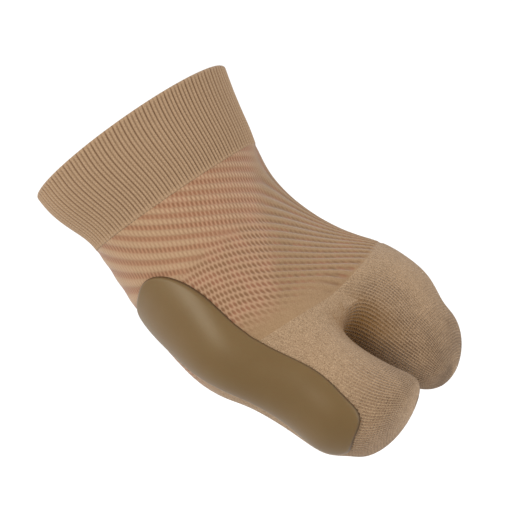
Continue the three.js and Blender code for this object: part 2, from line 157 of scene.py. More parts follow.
# Where the knit changes, in millimetres: the ridges start past a slanting line on the outer side, the
# bands end before one that leans a little, and the pattern fades beside the seams and the big toe.
RIDGES_FROM, RIDGES_FULL = 49, 59
BANDS_FULL, BANDS_TO, BANDS_LEAN = 57, 65, 0.12
CUFF_SEAM_REACH, CUFF_SEAM_SHARE = 1, 0.2
TOE_SEAM_REACH = 1.2
SEAM_TO_BIG_TOE, SEAM_TO_SMALL_TOES = 7, 5
CRISP_FROM, CRISP_FULL = 0.2, 1
SOFT_FROM, SOFT_FULL = 1, 11

# Wales of the pockets: columns that they show for beside the gap, and rings counted back from the tip. Then
# the shade painted deep in the gap between the pockets, by columns from the gap's middle and rings back from
# the tip. Last, in millimetres past the toes' root, where the wales and the painted shade start and where
# they are full.
BIG_TOE_BESIDE, SMALL_TOES_BESIDE = 1, 5
TIP_FROM, TIP_FULL, TIP_FADE, TIP_GONE, TIP_SHARE = 0.5, 2, 3, 6.5, 0.8
# Painted shade in the gap between the pockets: columns where it is full and gone, rings back from the tip
# where it is gone and full
GAP_FULL, GAP_GONE = 1.2, 2.6
GAP_TIP_GONE, GAP_TIP_FULL = 4, 7
SHOWN_FROM, SHOWN_FULL = -2, 10
# Painted gap shade: millimetres past the toes' root where it starts and where it is full
GAP_SHADE_FROM, GAP_SHADE_FULL = 1, 6

# The cuff's welt and its grooves, which are shallower and wider inside
WELT_START = -0.4
LIP_STEPS = 7
GROOVE_SHARPNESS = 2.2
INNER_RIB_SHARE = 0.6

# The gel pad: points round it, insets of its rounded edge and the rings of its crown
PAD_ROUND = 240
PAD_EDGE_STEPS = [0, 0.1, 0.25, 0.45, 0.7, 1.0, 1.4, 1.9, 2.6]
PAD_BULLNOSE = 1.5
PAD_RIM_POWER = 2.6
PAD_LIFT = 0.05
PAD_CROWN_RINGS, PAD_LAST_RING = 22, 0.02
# Insets from the pad's edge over which its darker rim is full and then gone
PAD_DARK_RIM_FULL, PAD_DARK_RIM_GONE = 0.25, 0.8

# Light and camera
WORLD = 0.84
LAMPS = [
    ("key", (-340, -540, 530), (900, 320), 4.9),
    ("fill", (650, 250, 350), (700, 700), 2.5),
]

CAMERA_TARGET = (70, -10, -13)
CAMERA_DISTANCE = 700
AZIMUTH, ELEVATION, ROLL = 29.09, 46.47, 10.56
LENS, SENSOR = 149, 36
FRAME_PIXELS = 512
SHIFT_RIGHT_PIXELS, SHIFT_DOWN_PIXELS = 17.3, 21.6
FLOOR_DROP, FLOOR_HALF = 400, 6000
CAMERA_REACH = 50


def turn_of(section):
    """The section's turn, pitch about Y and then yaw about Z."""
    pitch, yaw = math.radians(section.pitch), math.radians(section.yaw)
    about_y = np.array([
        [math.cos(pitch), 0, math.sin(pitch)],
        [0, 1, 0],
        [-math.sin(pitch), 0, math.cos(pitch)],
    ])
    about_z = np.array([
        [math.cos(yaw), -math.sin(yaw), 0],
        [math.sin(yaw), math.cos(yaw), 0],
        [0, 0, 1],
    ])
    return about_z @ about_y


def spread(start, end, steps):
    """Even angles from start up to, but without, end."""
    return [math.radians(start + (end - start) * k / steps) for k in range(steps)]


TUBE_ANGLES = np.array(spread(100, 260, MEDIAL) + spread(260, 460, LATERAL))
BIG_TOE_ANGLES = np.array(spread(55, 305, MEDIAL) + spread(305, 415, INNER))
SMALL_TOES_ANGLES = np.array(spread(235, 485, LATERAL) + spread(485, 595, INNER))


def ring(section, width, height, centre, angles):
    """One section as control points, swollen by what smoothing takes off."""
    swell = 3 / (2 + math.cos(2 * math.pi / len(angles)))
    sine, cosine = np.sin(angles), np.cos(angles)
    side = width / 2 * swell * cosine
    under = -np.abs(sine) ** section.sole
    rise = height / 2 * swell * np.where(sine > 0, sine * (1 - section.wedge * cosine), under)
    return np.stack([0 * side, side, rise], 1) @ turn_of(section).T + centre


def lerp(start, end, share):
    return start + (end - start) * share


def tube_rings():
    rings = []
    zones = (
        (CUFF_SECTIONS, 0, CUFF_LENGTH, MOUTH_WIDTH, MOUTH_HEIGHT),
        (SLEEVE_SECTIONS, CUFF_LENGTH, SLEEVE_LENGTH, BALL_WIDTH, BALL_HEIGHT),
    )
    for sections, start, length, width, height in zones:
        for row in sections:
            centre = [start + row.along * length, -row.aside * SIDESTEP, -row.fall * FALL]
            size = lerp(WAIST_WIDTH, width, row.wide), lerp(WAIST_HEIGHT, height, row.tall)
            rings.append(ring(row, *size, centre, TUBE_ANGLES))
    return rings


def pocket_rings(pocket, angles):
    """Rings of a toe's pocket and its closing tip."""
    rings = []
    for row in pocket.sections:
        width, height = row.wide * pocket.width, row.tall * pocket.height
        aside = CROTCH_ASIDE + pocket.side * (row.aside * BALL_WIDTH + width / 2)
        centre = np.array([TOE_START + row.along * TOE_LENGTH, aside, -row.fall * FALL])
        rings.append(ring(row, width, height, centre, angles))
    nose = pocket.nose

    def nose_centre(u):
        sideways = nose.aside * u * u * BALL_WIDTH
        return centre + [nose.reach * u * TOE_LENGTH, sideways, -nose.fall * u * u * FALL]

    for u in nose.stations:
        shrink = (1 - u ** nose.power) ** (1 / nose.power)
        rings.append(ring(row, width * shrink, height * shrink, nose_centre(u), angles))
    return rings, nose_centre(1)


class Cage:
    """Control faces with a row and column at each corner, and the zone that each belongs to."""

    TUBE, BIG, SMALL, WEB = range(4)

    def __init__(self):
        self.points, self.faces, self.grid, self.zones = [], [], [], []

    def add(self, points):
        start = len(self.points)
        self.points.extend(points)
        return list(range(start, len(self.points)))

    def face(self, corners, grid, zone):
        self.faces.append(corners)
        self.grid.append(grid)
        self.zones.append(zone)

    def bands(self, rings, row, column, zone):
        """Closed bands of faces between rings."""
        for i, (near, far) in enumerate(zip(rings, rings[1:])):
            for k in range(len(near)):
                after = (k + 1) % len(near)
                r, c = row + i, column + k
                grid = [(r, c), (r, c + 1), (r + 1, c + 1), (r + 1, c)]
                self.face([near[k], near[after], far[after], far[k]], grid, zone)

    def tip(self, end, tip, row, column, zone):
        for k in range(len(end)):
            grid = [(row, column + k), (row, column + k + 1), (row + 1, column + k + 0.5)]
            self.face([end[k], end[(k + 1) % len(end)], tip], grid, zone)


def build_cage():
    cage = Cage()
    tube = [cage.add(points) for points in tube_rings()]
    cage.bands(tube, 0, 0, Cage.TUBE)
    root, row = tube[-1], len(tube) - 1
    pockets = []
    for pocket, angles in ((BIG_TOE, BIG_TOE_ANGLES), (SMALL_TOES, SMALL_TOES_ANGLES)):
        rings, tip = pocket_rings(pocket, angles)
        pockets.append(([cage.add(points) for points in rings], cage.add([tip])[0]))
    (big, big_tip), (small, small_tip) = pockets
    b, s = big[0], small[0]
    for k in range(MEDIAL):
        grid = [(row, k), (row, k + 1), (row + 1, k + 1), (row + 1, k)]
        cage.face([root[k], root[k + 1], b[k + 1], b[k]], grid, Cage.BIG)
    for k in range(LATERAL):
        c = MEDIAL + k
        grid = [(row, c), (row, c + 1), (row + 1, c + 1), (row + 1, c)]
        cage.face([root[c], root[(c + 1) % AROUND], s[k + 1], s[k]], grid, Cage.SMALL)
    edge = 0.3
    cage.face([root[0], b[0], s[LATERAL]], [(row, 0), (row + 1, 0), (row + 1, -edge)], Cage.WEB)
    grid = [(row, MEDIAL), (row + 1, MEDIAL + edge), (row + 1, MEDIAL)]
    cage.face([root[MEDIAL], s[0], b[MEDIAL]], grid, Cage.WEB)
    for k in range(INNER):
        across = LATERAL + INNER - k
        corners = [b[(MEDIAL + k + 1) % len(b)], b[MEDIAL + k], s[across % len(s)], s[across - 1]]
        c = MEDIAL + k
        grid = [(row + 1, c + 1), (row + 1, c), (row + 1 - edge, c), (row + 1 - edge, c + 1)]
        cage.face(corners, grid, Cage.WEB)
    cage.bands(big, row + 1, 0, Cage.BIG)
    cage.bands(small, row + 1, MEDIAL, Cage.SMALL)
    cage.tip(big[-1], big_tip, row + len(big), 0, Cage.BIG)
    cage.tip(small[-1], small_tip, row + len(small), MEDIAL, Cage.SMALL)
    return cage, np.array([[cage.points[i] for i in indices] for indices in tube])


class Surface:
    """A mesh of quads as arrays: places, faces, the row and column at each corner, and zones."""

    def __init__(self, places, faces, grid, zones):
        self.places, self.faces, self.grid, self.zones = places, faces, grid, zones

    def normals(self):
        corners = self.places[self.faces]
        normal = np.cross(corners[:, 2] - corners[:, 0], corners[:, 3] - corners[:, 1])
        total = np.zeros_like(self.places)
        for k in range(4):
            np.add.at(total, self.faces[:, k], normal)
        return total / np.linalg.norm(total, axis=1, keepdims=True)

    def point_grid(self):
        """Row and column at each point, from any one of its corners."""
        grid = np.zeros((len(self.places), 2))
        grid[self.faces.ravel()] = self.grid.reshape(-1, 2)
        return grid


def smooth_surface(cage):
    """The cage's endless subdivision, by Blender's own modifier."""
    mesh = bpy.data.meshes.new("cage")
    mesh.from_pydata([tuple(p) for p in cage.points], [], cage.faces)
    layer = mesh.uv_layers.new(name="Grid")
    layer.data.foreach_set("uv", np.array([c for face in cage.grid for c in face], float).ravel())
    mesh.polygons.foreach_set("material_index", cage.zones)
    holder = bpy.data.objects.new("cage", mesh)
    bpy.context.scene.collection.objects.link(holder)
    modifier = holder.modifiers.new("subdivide", "SUBSURF")
    modifier.levels = SUBDIVISIONS
    modifier.quality = 5
    modifier.uv_smooth = "NONE"
    modifier.use_limit_surface = True
    result = holder.evaluated_get(bpy.context.evaluated_depsgraph_get()).to_mesh()
    places = np.empty(len(result.vertices) * 3)
    result.vertices.foreach_get("co", places)
    faces = np.empty(len(result.loops), int)
    result.loops.foreach_get("vertex_index", faces)
    grid = np.empty(len(result.loops) * 2)
    result.uv_layers["Grid"].data.foreach_get("uv", grid)
    zones = np.empty(len(result.polygons), int)
    result.polygons.foreach_get("material_index", zones)
    bpy.data.objects.remove(holder)
    bpy.data.meshes.remove(mesh)
    return Surface(places.reshape(-1, 3), faces.reshape(-1, 4), grid.reshape(-1, 4, 2), zones)


def snap(surface, field, chosen):
    """Moves the nearer end of each chosen edge that crosses the field's zero onto it."""
    values = field(surface.places)
    faces = surface.faces[chosen]
    near = faces.ravel()
    far = np.roll(faces, -1, axis=1).ravel()
    shift = (np.roll(surface.grid[chosen], -1, axis=1) - surface.grid[chosen]).reshape(-1, 2)
    near, far, shift = np.r_[near, far], np.r_[far, near], np.r_[shift, -shift]
    crossing = values[near] * values[far] < 0
    near, far, shift = near[crossing], far[crossing], shift[crossing]
    share = values[near] / (values[near] - values[far])
    order = np.argsort(-share)
    order = order[share[order] <= 0.5]
    moves = np.zeros_like(surface.places)
    shifts = np.zeros((len(moves), 2))
    moves[near[order]] = share[order, None] * (surface.places[far[order]] - surface.places[near[order]])
    shifts[near[order]] = share[order, None] * shift[order]
    surface.places += moves
    surface.grid += shifts[surface.faces]
    values = field(surface.places)
    values[near[order]] = 0
    return values


def cuff_plane(places):
    """Distance past the cuff's foot."""
    foot = CUFF_SECTIONS[-1]
    normal = turn_of(foot)[:, 0]
    return (places - [CUFF_LENGTH, -foot.aside * SIDESTEP, -foot.fall * FALL]) @ normal


def toe_arc(places):
    """Distance past the arc over the roots of the toes."""
    centre = [TOE_START - TOE_SEAM_RADIUS, TOE_SEAM_ASIDE]
    return np.linalg.norm(places[..., :2] - centre, axis=-1) - TOE_SEAM_RADIUS


def crotch_side(places):
    return places[..., 1] - CROTCH_ASIDE


def count(places, start, slope, bend):
    """How many stripes lie before a place: whole numbers are the dark lines. Stripes that curve over
    the top run on straight round the outer side and under the foot."""
    held = places.copy()
    held[..., 1] = np.minimum(places[..., 1], HELD_ASIDE)
    held[..., 2] = np.maximum(places[..., 2], HELD_DROP + HELD_SLOPE * places[..., 0])
    bent = held @ bend
    return start + places @ slope + (bent * (2 * places - held)).sum(-1)


def stripe_counts(places):
    mesh = count(places, MESH_START, MESH_SLOPE, MESH_BEND)
    bands = count(places, BAND_START, BAND_SLOPE, BAND_BEND)
    return mesh, bands


def smoothstep(low, high, value):
    t = np.clip((value - low) / (high - low), 0, 1)
    return t * t * (3 - 2 * t)


def zone_weights(places):
    """Shares of the raised ridges on the outer side and of the broad bands nearer the cuff."""
    x, y = places[..., 0], places[..., 1]
    ridges = smoothstep(RIDGES_FROM, RIDGES_FULL, x + y)
    bands = 1 - smoothstep(BANDS_FULL, BANDS_TO, x - BANDS_LEAN * y)
    return ridges, bands


def along_scale(cage_rows):
    """Distance along the knit at each row of rings, from the mean gap between them."""
    gaps = [np.linalg.norm(far - near, axis=1).mean() for near, far in zip(cage_rows, cage_rows[1:])]
    return np.r_[0, np.cumsum(gaps)]


def make_object(name, points, faces, layers, materials, face_materials=None, creases=()):
    """A smooth mesh object in metres, with UV layers given as one pair for each corner, whose creases
    are pairs of points."""
    mesh = bpy.data.meshes.new(name)
    mesh.from_pydata((np.asarray(points) * MM).tolist(), [], faces)
    for title, pairs in layers.items():
        mesh.uv_layers.new(name=title).data.foreach_set("uv", np.asarray(pairs, np.float32).ravel())
    for material in materials:
        mesh.materials.append(material)
    if face_materials is not None:
        mesh.polygons.foreach_set("material_index", face_materials)
    mesh.shade_smooth()
    if len(creases):
        ends = np.empty(2 * len(mesh.edges), int)
        mesh.edges.foreach_get("vertices", ends)
        keys = np.sort(ends.reshape(-1, 2), axis=1) @ [len(points), 1]
        creased = np.sort(np.asarray(creases), axis=1) @ [len(points), 1]
        mesh.edges.foreach_set("use_edge_sharp", np.isin(keys, creased))
    piece = bpy.data.objects.new(name, mesh)
    bpy.context.scene.collection.objects.link(piece)
    return piece


def open_edges(faces):
    """Directed edges that only one face has."""
    edges = {}
    for face in faces:
        for a, b in zip(face, face[1:] + face[:1]):
            if (b, a) in edges:
                del edges[(b, a)]
            else:
                edges[(a, b)] = True
    return list(edges)


def knit_shell(name, chosen, fields, relief, layer_of, materials):
    """A closed knitted wall over the chosen faces where all fields are low: a worked outside, a plain
    inside and the edges. A face that a field cuts from corner to corner gives one half."""
    signs = np.max(fields, axis=0)
    low = chosen & (signs.max(1) <= 0) & (signs.min(1) < 0)
    split = chosen & (signs.max(1) > 0) & (signs.min(1) < 0)
    faces = surface.faces[low].tolist()
    grid = [corner for face in surface.grid[low] for corner in face]
    for index in np.flatnonzero(split):
        third = int(signs[index].argmin())
        picked = sorted([(third - 1) % 4, third, (third + 1) % 4])
        faces.append(surface.faces[index][picked].tolist())
        grid.extend(surface.grid[index][picked])
    used = np.unique(np.concatenate(faces))
    place_of = np.full(len(surface.places), -1)
    place_of[used] = np.arange(len(used))
    faces = [place_of[face].tolist() for face in faces]
    base, normal = surface.places[used], normals[used]
    outside = base + normal * relief(base, point_grid[used])[:, None]
    within = base - normal * WALL
    total = len(used)
    edges = np.array(open_edges(faces))
    rim = [[b, a, a + total, b + total] for a, b in edges.tolist()]
    inner = [[i + total for i in reversed(face)] for face in faces]
    grid = np.array(grid)
    starts = np.r_[0, np.cumsum([len(face) for face in faces])]
    inner_grid = np.concatenate([grid[s:e][::-1] for s, e in zip(starts, starts[1:])])
    rim_grid = np.array([point_grid[used[i % total]] for face in rim for i in face])
    inner_corners, rim_corners = np.concatenate(inner) - total, np.concatenate(rim) % total
    corners = np.concatenate([np.concatenate(faces), inner_corners, rim_corners])
    all_grid = np.concatenate([grid, inner_grid, rim_grid])
    layers = layer_of(base[corners], all_grid)
    sides = [0] * len(faces) + [1] * (len(inner) + len(rim))
    creases = np.r_[edges, edges + total]
    return make_object(name, np.r_[outside, within], faces + inner + rim, layers, materials, sides, creases)


def weights(t):
    """Shares of four control points in a cubic spline."""
    t = np.asarray(t)
    return np.stack([
        (1 - t) ** 3,
        3 * t ** 3 - 6 * t ** 2 + 4,
        -3 * t ** 3 + 3 * t ** 2 + 3 * t + 1,
        t ** 3,
    ]) / 6


def slopes(t):
    """How fast those shares change."""
    t = np.asarray(t)
    return np.stack([-((1 - t) ** 2), 3 * t ** 2 - 4 * t, -3 * t ** 2 + 2 * t + 1, t ** 2]) / 2


def spline(rows, u, v, closed):
    """Place and its changes along the rows and columns of a bicubic spline."""
    u, v = np.broadcast_arrays(u, v)
    i = np.clip(np.floor(u).astype(int), 1, len(rows) - 3)
    j = np.floor(v).astype(int)
    if not closed:
        j = np.clip(j, 1, rows.shape[1] - 3)
    wu, wv, du, dv = weights(u - i), weights(v - j), slopes(u - i), slopes(v - j)
    place, along, across = (np.zeros(u.shape + (3,)) for _ in range(3))
    for a in range(4):
        for b in range(4):
            column = j - 1 + b
            point = rows[i - 1 + a, column % rows.shape[1] if closed else column]
            place += (wu[a] * wv[b])[..., None] * point
            along += (du[a] * wv[b])[..., None] * point
            across += (wu[a] * dv[b])[..., None] * point
    return place, along, across


def unit(vectors):
    return vectors / np.linalg.norm(vectors, axis=-1, keepdims=True)


def rib_turns(columns):
    """Ribs before a column: they lie wider apart round two opposite edges of the cuff."""
    swing = AROUND / (4 * math.pi)
    return RIBS * (columns - RIB_STRETCH * swing * np.sin((columns - RIB_FOLD) / swing))


def cuff_piece(material):
    """The cuff: ribs inside and out, and a rounded welt at the mouth."""
    rows = np.concatenate([[2 * tube_points[0] - tube_points[1]], tube_points])
    columns = np.arange(round(AROUND * RIBS * RIB_SAMPLES)) / (RIBS * RIB_SAMPLES)
    foot = np.full(len(columns), len(CUFF_SECTIONS) * 1.0)
    for _ in range(8):
        place, along, _ = spline(rows, foot, columns, True)
        foot -= cuff_plane(place) / (along @ turn_of(CUFF_SECTIONS[-1])[:, 0])
    mouth = spline(rows, np.ones(len(columns)), columns, True)[1]
    top = 1 + WALL / 2 / np.linalg.norm(mouth, axis=1)
    shares = np.linspace(1, 0, CUFF_ROWS)
    path = [(share, 0, +1) for share in shares]
    path += [(0, math.pi * k / LIP_STEPS, 0) for k in range(1, LIP_STEPS)]
    path += [(share, math.pi, -1) for share in np.linspace(0, 1, CUFF_ROWS // 2)]
    groove = (0.5 + 0.5 * np.cos(2 * np.pi * rib_turns(columns))) ** GROOVE_SHARPNESS
    turns_at = rib_turns(np.r_[columns, AROUND])
    points, distance = [], []
    for share, angle, side in path:
        place, along, across = spline(rows, top + share * (foot - top), columns, True)
        normal, up = unit(np.cross(across, along)), -unit(along)
        down = np.linalg.norm(place - spline(rows, top, columns, True)[0], axis=1)
        kept = 1 - RIB_FADE * smoothstep(RIB_FADE_START, 1, share)
        depth = RIB_RELIEF * smoothstep(WELT_START, WELT, down) * kept
        if side:
            sunk = groove if side > 0 else INNER_RIB_SHARE * (1 - groove)
            shift = side * (WALL / 2 - sunk * depth)
        else:
            shift = WALL / 2 * math.cos(angle)
        rise = 0 if side else WALL / 2 * math.sin(angle)
        points.append(place - normal * WALL / 2 + normal * np.reshape(shift, (-1, 1)) + up * rise)
        distance.append(down)
    around, layers = len(columns), len(path)
    faces, knit, ends = [], [], []
    for i in range(layers):
        for k in range(around):
            after = (k + 1) % around
            far = (i + 1) % layers
            faces.append([i * around + k, far * around + k, far * around + after, i * around + after])
            turns = turns_at[k], turns_at[k + 1]
            near_down, far_down = distance[i][k] / COURSE, distance[far][k] / COURSE
            near_share, far_share = (path[i][0], 0), (path[far][0], 0)
            ends.extend([near_share, far_share, far_share, near_share])
            knit.extend([(turns[0], near_down), (turns[0], far_down)])
            knit.extend([(turns[1], far_down), (turns[1], near_down)])
    layers_of = {"Knit": knit, "Ends": ends}
    return make_object("cuff_knit", np.concatenate(points), faces, layers_of, [material])


def seam_dent(places):
    """Depth of the seams: at the cuff's foot all round, and at the toes' arc away from the big toe."""
    cuff_seam = 1 - smoothstep(0, CUFF_SEAM_REACH, np.abs(cuff_plane(places)))
    toe_seam = 1 - smoothstep(0, TOE_SEAM_REACH, np.abs(toe_arc(places)))
    return SEAM_DEPTH * np.maximum(CUFF_SEAM_SHARE * cuff_seam, toe_seam * beside_small_toes(places))


def beside_small_toes(places):
    """1 on the side of the small toes, falling to 0 on the big toe, where the pattern fades out."""
    return smoothstep(CROTCH_ASIDE - SEAM_TO_BIG_TOE, CROTCH_ASIDE + SEAM_TO_SMALL_TOES, places[..., 1])


def pattern_share(places):
    """How far the stripes show: all but beside the seams and towards the big toe."""
    from_toes = -toe_arc(places)
    crisp = smoothstep(CRISP_FROM, CRISP_FULL, from_toes)
    soft = smoothstep(SOFT_FROM, SOFT_FULL, from_toes)
    return lerp(soft, crisp, beside_small_toes(places))


def sleeve_relief(places, grid):
    """Height of the outside over the surface: the stripes and the seams are sunk."""
    ridges, bands = zone_weights(places)
    mesh_wave, band_wave = (0.5 - 0.5 * np.cos(2 * np.pi * stripes) for stripes in stripe_counts(places))
    mesh_depth = lerp(MESH_RELIEF, RIDGE_RELIEF, ridges) * (1 - mesh_wave ** WAVE_SHARPNESS)
    depth = lerp(mesh_depth, BAND_RELIEF * (1 - band_wave), bands * (1 - ridges))
    shown = pattern_share(places) * smoothstep(0, 1, cuff_plane(places))
    return -depth * shown - seam_dent(places)


def toe_relief(places, grid):
    return -seam_dent(places)


def sleeve_layers(places, grid):
    mesh, band = stripe_counts(places)
    column, row = grid[:, 1], grid[:, 0]
    along = np.interp(row, np.arange(len(tube_along)), tube_along)
    ridges, bands = zone_weights(places)
    shown = pattern_share(places)
    smooth = smoothstep(SMOOTH_START, SMOOTH_END, -places[:, 1])
    return {
        "Knit": np.stack([column * WALES, along / COURSE], 1),
        "Mesh": np.stack([mesh, column * TICKS - mesh * TICK_LEAN], 1),
        "Bands": np.stack([band, column * TICKS - band * 2 * TICK_LEAN], 1),
        "Zones": np.stack([ridges, bands], 1),
        "Pattern": np.stack([shown, smooth], 1),
    }


def toe_layers(rings_along, middle, around, beside):
    """Layers of a pocket: wales and courses, how far its stitches show, and how much shade is painted deep
    between the toes. The middle column faces the other pocket, and the wales show for some columns beside it."""
    def layers(places, grid):
        column, row = grid[:, 1], grid[:, 0]
        along = np.interp(row, np.arange(len(rings_along)), rings_along)
        off = np.abs((column - middle + around / 2) % around - around / 2)
        to_tip = len(rings_along) - row
        gap = 1 - smoothstep(beside / 2, beside, off)
        past_root = places[:, 0] - TOE_START
        tip = smoothstep(TIP_FROM, TIP_FULL, to_tip) - smoothstep(TIP_FADE, TIP_GONE, to_tip)
        shown = np.maximum(gap, TIP_SHARE * tip) * smoothstep(SHOWN_FROM, SHOWN_FULL, past_root)
        # Share of shade painted deep in the gap between the pockets, fading out towards the root and the tip
        painted_gap_shade = (1 - smoothstep(GAP_FULL, GAP_GONE, off)) * smoothstep(GAP_SHADE_FROM, GAP_SHADE_FULL, past_root)
        painted_gap_shade *= smoothstep(GAP_TIP_GONE, GAP_TIP_FULL, to_tip)
        return {
            "Knit": np.stack([column * TOE_WALES, along / COURSE], 1),
            "Zones": np.stack([shown, painted_gap_shade], 1),
        }
    return layers


def pad_fall(share):
    """How low the pad's middle line lies, a curve through four falls."""
    heel, arch, joint, toe = PAD_FALLS
    rest = 1 - share
    heel_half = rest ** 3 * heel + 3 * rest ** 2 * share * arch
    return FALL * (heel_half + 3 * rest * share ** 2 * joint + share ** 3 * toe)


def pad_width(share):
    """Width of the pad along its length, with its waist."""
    waist = np.exp(-((share - PAD_WAIST_ALONG) / PAD_WAIST_REACH) ** 2)
    return lerp(PAD_WIDTH, PAD_WAIST, waist)


def on_medial_side(rows, share, across):
    """Rows and columns of places that lie up the wall from the pad's middle line."""
    start, end = CUFF_LENGTH + PAD_HEEL_MARGIN, TOE_START + TOE_LENGTH - PAD_TOE_MARGIN
    x, z = lerp(start, end, share), -pad_fall(share)
    u, v = np.full(share.shape, len(rows) / 2), np.full(share.shape, MEDIAL / 2)
    for _ in range(12):
        place, du, dv = spline(rows, u, v, False)
        ex, ez = x - place[..., 0], z - place[..., 2]
        area = du[..., 0] * dv[..., 2] - du[..., 2] * dv[..., 0]
        u = u + (ex * dv[..., 2] - ez * dv[..., 0]) / area
        v = v + (ez * du[..., 0] - ex * du[..., 2]) / area
    strides = 24
    for _ in range(strides):
        _, du, dv = spline(rows, u, v, False)
        lean = -dv[..., 0] / du[..., 0]
        step = -across / strides / np.linalg.norm(dv + lean[..., None] * du, axis=-1)
        u, v = u + lean * step, v + step
    return u, v


def pad_piece(material):
    """The gel pad: a crowned front with a rounded edge and a back that lies along the knit."""
    rows = medial_points
    length = TOE_START + TOE_LENGTH - PAD_TOE_MARGIN - CUFF_LENGTH - PAD_HEEL_MARGIN
    half = PAD_WIDTH / 2
    angle = 2 * np.pi * np.arange(PAD_ROUND) / PAD_ROUND
    power = 2 / PAD_OUTLINE_POWER
    x = np.sign(np.cos(angle)) * np.abs(np.cos(angle)) ** power
    y = np.sign(np.sin(angle)) * np.abs(np.sin(angle)) ** power
    lean = PAD_OUTLINE_POWER - 1
    slope_x = np.sign(x) * np.abs(x) ** lean / (length / 2)
    slope_y = np.sign(y) * np.abs(y) ** lean / half
    slope = np.stack([slope_x, slope_y], 1)
    support = (x * length / 2 * slope[:, 0] + y * half * slope[:, 1]) / np.linalg.norm(slope, axis=1)
    last = PAD_EDGE_STEPS[-1]
    spans = [1 - e / support for e in PAD_EDGE_STEPS]
    inwards = np.linspace(1, PAD_LAST_RING, PAD_CROWN_RINGS)[1:]
    spans += [(1 - last / support) * share for share in inwards]
    front, back = [], []
    for i, r in enumerate(spans):
        share = 0.5 + 0.5 * r * x
        u, v = on_medial_side(rows, share, pad_width(share) / 2 * r * y)
        place, du, dv = spline(rows, u, v, False)
        normal = unit(np.cross(dv, du))
        inset = PAD_EDGE_STEPS[i] if i < len(PAD_EDGE_STEPS) else last
        bullnose = math.sqrt(max(0, 1 - (1 - min(inset / PAD_BULLNOSE, 1)) ** 2))
        crown = PAD_EDGE + (PAD_THICKNESS - PAD_EDGE) * (1 - r ** PAD_RIM_POWER)
        front.append(place + normal * (PAD_LIFT + bullnose * crown)[:, None])
        if i > 0:
            back.append(place + normal * PAD_LIFT)
    rings = back[::-1] + front
    edges = [0] * len(back) + [1 - smoothstep(PAD_DARK_RIM_FULL, PAD_DARK_RIM_GONE, e) for e in PAD_EDGE_STEPS]
    edges += [0] * (len(rings) - len(edges))
    faces, zones = [], []
    for i in range(len(rings) - 1):
        near, far = i * PAD_ROUND, (i + 1) * PAD_ROUND
        for k in range(PAD_ROUND):
            after = (k + 1) % PAD_ROUND
            faces.append([near + k, near + after, far + after, far + k])
            zones.extend([(edges[i], 0), (edges[i], 0), (edges[i + 1], 0), (edges[i + 1], 0)])
    total = len(rings) * PAD_ROUND
    faces.append(list(range(PAD_ROUND))[::-1])
    faces.append(list(range(total - PAD_ROUND, total)))
    zones.extend([(0, 0)] * (2 * PAD_ROUND))
    return make_object("gel_pad", np.concatenate(rings), faces, {"Zones": zones}, [material])


class Shade:
    """A procedural material, built a node at a time."""

    def __init__(self, name):
        self.material = bpy.data.materials.new(name)
        self.material.use_nodes = True
        self.tree = self.material.node_tree
        self.shader = self.tree.nodes["Principled BSDF"]
        self.place = self.node("ShaderNodeTexCoord").outputs["Object"]

    def node(self, kind, **settings):
        made = self.tree.nodes.new(kind)
        for key, value in settings.items():
            setattr(made, key, value)
        return made

    def put(self, socket, value):
        if isinstance(value, bpy.types.NodeSocket):
            self.tree.links.new(value, socket)
        else:
            socket.default_value = value

    def math(self, operation, *values, clamp=False):
        made = self.node("ShaderNodeMath", operation=operation, use_clamp=clamp)
        for socket, value in zip(made.inputs, values):
            self.put(socket, value)
        return made.outputs[0]

    def add(self, a, b):
        return self.math("ADD", a, b)

    def times(self, a, b):
        return self.math("MULTIPLY", a, b)

    def wave(self, phase):
        """From 0 at whole phases to 1 halfway between them."""
        return self.math("MULTIPLY_ADD", self.math("COSINE", self.times(phase, 2 * math.pi)), -0.5, 0.5)

    def less(self, value):
        return self.math("SUBTRACT", 1.0, value)

    def step(self, low, high, value):
        """Rises smoothly from 0 to 1 between two values."""
        made = self.node("ShaderNodeMapRange", interpolation_type="SMOOTHSTEP")
        for title, number in (("Value", value), ("From Min", low), ("From Max", high)):
            self.put(made.inputs[title], number)
        return made.outputs[0]

    def layer(self, name):
        made = self.node("ShaderNodeSeparateXYZ")
        self.put(made.inputs[0], self.node("ShaderNodeUVMap", uv_map=name).outputs[0])
        return made.outputs[0], made.outputs[1]

    def noise(self, size, detail=2.0, roughness=0.5):
        """Noise with lumps of a size in millimetres."""
        made = self.node("ShaderNodeTexNoise")
        self.put(made.inputs["Vector"], self.place)
        self.put(made.inputs["Scale"], 1 / (size * MM))
        self.put(made.inputs["Detail"], detail)
        self.put(made.inputs["Roughness"], roughness)
        return made.outputs["Fac"]

    def mix(self, share, a, b):
        made = self.node("ShaderNodeMix", data_type="RGBA")
        self.put(made.inputs["Factor"], share)
        self.put(made.inputs["A"], a)
        self.put(made.inputs["B"], b)
        return made.outputs["Result"]

    def blend(self, share, a, b):
        made = self.node("ShaderNodeMix", data_type="FLOAT")
        self.put(made.inputs["Factor"], share)
        self.put(made.inputs["A"], a)
        self.put(made.inputs["B"], b)
        return made.outputs["Result"]

    def bump(self, height, distance, strength=1.0):
        made = self.node("ShaderNodeBump")
        self.put(made.inputs["Height"], height)
        self.put(made.inputs["Distance"], distance * MM)
        self.put(made.inputs["Strength"], strength)
        self.put(self.shader.inputs["Normal"], made.outputs[0])

    def finish(self, color, roughness, sheen=0.0, specular=0.5):
        self.put(self.shader.inputs["Base Color"], color)
        self.put(self.shader.inputs["Roughness"], roughness)
        self.put(self.shader.inputs["Sheen Weight"], sheen)
        self.put(self.shader.inputs["Sheen Roughness"], SHEEN_ROUGHNESS)
        self.put(self.shader.inputs["Specular IOR Level"], specular)
        return self.material


def tone(red, green, blue):
    """A colour from its screen values."""
    linear = [((c / 255 + 0.055) / 1.055) ** 2.4 if c > 10 else c / 255 / 12.92 for c in (red, green, blue)]
    return (*linear, 1)


